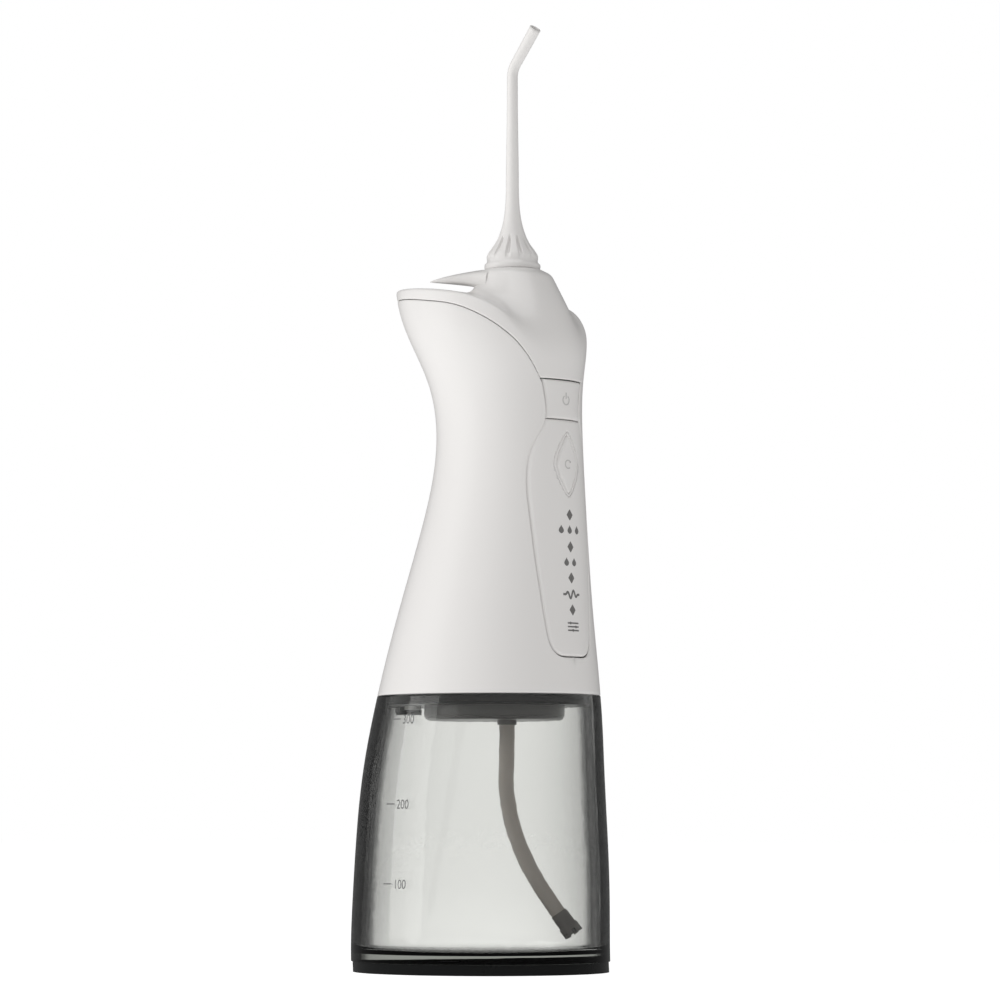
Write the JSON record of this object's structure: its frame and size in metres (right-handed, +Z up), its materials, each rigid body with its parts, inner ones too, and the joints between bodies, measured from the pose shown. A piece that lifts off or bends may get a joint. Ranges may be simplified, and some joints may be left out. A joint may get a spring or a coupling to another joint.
{
  "type": "water flosser",
  "caption": "Cordless water flosser: oval handle with beaked head, bent jet nozzle and press controls on a clear water tank with a hanging suction hose.",
  "frame": {"origin": "middle of the tank's foot, on the surface it stands on", "axes": "+Z up through the nozzle, -Y to the front with the controls, +Y to the beak of the head, +X to the left of someone facing the controls"},
  "size_m": [0.0794, 0.085, 0.3014],
  "materials": {
    "white_plastic": "gloss moulded ABS",
    "clear_smoke": "smoke-tinted clear moulded plastic, polished",
    "dark_plastic": "dark moulded plastic, satin",
    "grey_plastic": "dark grey moulded plastic, satin",
    "soft_silicone": "translucent grey-brown silicone",
    "black_rubber": "black nitrile rubber",
    "white_rubber": "white soft elastomer",
    "print_grey": "grey smoked light window",
    "steel": "plain steel",
    "nylon": "natural acetal or nylon",
    "board_green": "glass-epoxy circuit board, green mask",
    "cell_wrap": "cell in a blue shrink wrap",
    "motor_can": "zinc-plated motor can"
  },
  "bodies": {
    "tank": {"tank_shell": "clear_smoke", "tank_foot": "dark_plastic"},
    "handle": {"main_housing": "white_plastic", "head_cover": "white_plastic", "control_panel": "white_plastic", "light_windows": "print_grey", "circuit_board": "board_green", "tact_switches": "dark_plastic", "mode_leds": "nylon", "nozzle_socket": "nylon", "handle_base": "dark_plastic", "tank_seal": "black_rubber", "vent_valve": "soft_silicone", "suction_plate": "grey_plastic", "suction_stub": "grey_plastic", "suction_hose": "soft_silicone", "hose_filter": "grey_plastic", "pump_frame": "nylon", "valve_block": "nylon", "inlet_valve": "soft_silicone", "outlet_valve": "soft_silicone", "pump_cylinder": "nylon", "gear_axle": "steel", "motor": "motor_can", "battery_cell": "cell_wrap", "battery_cradle": "dark_plastic", "outlet_hose": "soft_silicone", "charging_socket": "grey_plastic", "base_screws": "steel"},
    "power_button": {"power_button": "white_plastic"},
    "mode_button": {"mode_button": "white_plastic"},
    "release_button": {"release_button": "white_plastic"},
    "release_latch": {"release_latch": "steel"},
    "nozzle_seat": {"nozzle_seat": "white_plastic", "seat_seal": "black_rubber"},
    "nozzle": {"nozzle": "white_plastic", "nozzle_seal": "black_rubber"},
    "crank_gear": {"crank_gear": "nylon"},
    "connecting_rod": {"connecting_rod": "nylon"},
    "piston": {"piston": "nylon", "piston_seal": "black_rubber"},
    "motor_rotor": {"motor_pinion": "steel", "motor_shaft": "steel"},
    "charging_cover": {"charging_cover": "white_rubber"}
  },
  "joints": [
    {"name": "handle_lift", "type": "slide", "parent": "tank", "child": "handle", "axis": [0, 0, 1], "range_m": [0, 0.095]},
    {"name": "power_press", "type": "slide", "parent": "handle", "child": "power_button", "axis": [0, 1, 0], "range_m": [0, 0.0008], "stiffness_N_per_m": 400, "springref_m": -0.0004},
    {"name": "mode_press", "type": "slide", "parent": "handle", "child": "mode_button", "axis": [0, 1, 0], "range_m": [0, 0.0008], "stiffness_N_per_m": 400, "springref_m": -0.0004},
    {"name": "release_press", "type": "hinge", "parent": "handle", "child": "release_button", "pos_m": [0, -0.002, 0.219], "axis": [-1, 0, 0], "range_deg": [0, 3.4], "stiffness_Nm_per_rad": 0.1, "springref_deg": -1.72},
    {"name": "latch_slide", "type": "slide", "parent": "handle", "child": "release_latch", "axis": [0, 1, 0], "range_m": [0, 0.001]},
    {"name": "nozzle_turn", "type": "hinge", "parent": "handle", "child": "nozzle_seat", "pos_m": [0, -0.01335, 0.21], "axis": [0, 0, 1], "continuous": true},
    {"name": "nozzle_pull", "type": "slide", "parent": "nozzle_seat", "child": "nozzle", "axis": [0, 0, 1], "range_m": [0, 0.02]},
    {"name": "crank_spin", "type": "hinge", "parent": "handle", "child": "crank_gear", "pos_m": [0, -0.0225, 0.1165], "axis": [0, 1, 0], "continuous": true},
    {"name": "rod_swing", "type": "hinge", "parent": "crank_gear", "child": "connecting_rod", "pos_m": [0.0015, -0.0191, 0.1165], "axis": [0, 1, 0], "continuous": true},
    {"name": "motor_spin", "type": "hinge", "parent": "handle", "child": "motor_rotor", "pos_m": [0, -0.0225, 0.1285], "axis": [0, 1, 0], "continuous": true},
    {"name": "piston_slide", "type": "slide", "parent": "handle", "child": "piston", "axis": [0, 0, 1], "range_m": [-0.0015, 0.0015]},
    {"name": "cover_open", "type": "hinge", "parent": "handle", "child": "charging_cover", "pos_m": [0, 0.0271, 0.11], "axis": [1, 0, 0], "range_deg": [0, 100]}
  ],
  "couplings": [
    {"joint": "latch_slide", "follows": "release_press", "m_per_rad": 0.0168},
    {"joint": "rod_swing", "follows": "crank_spin", "ratio": -1},
    {"joint": "motor_spin", "follows": "crank_spin", "ratio": -3}
  ]
}
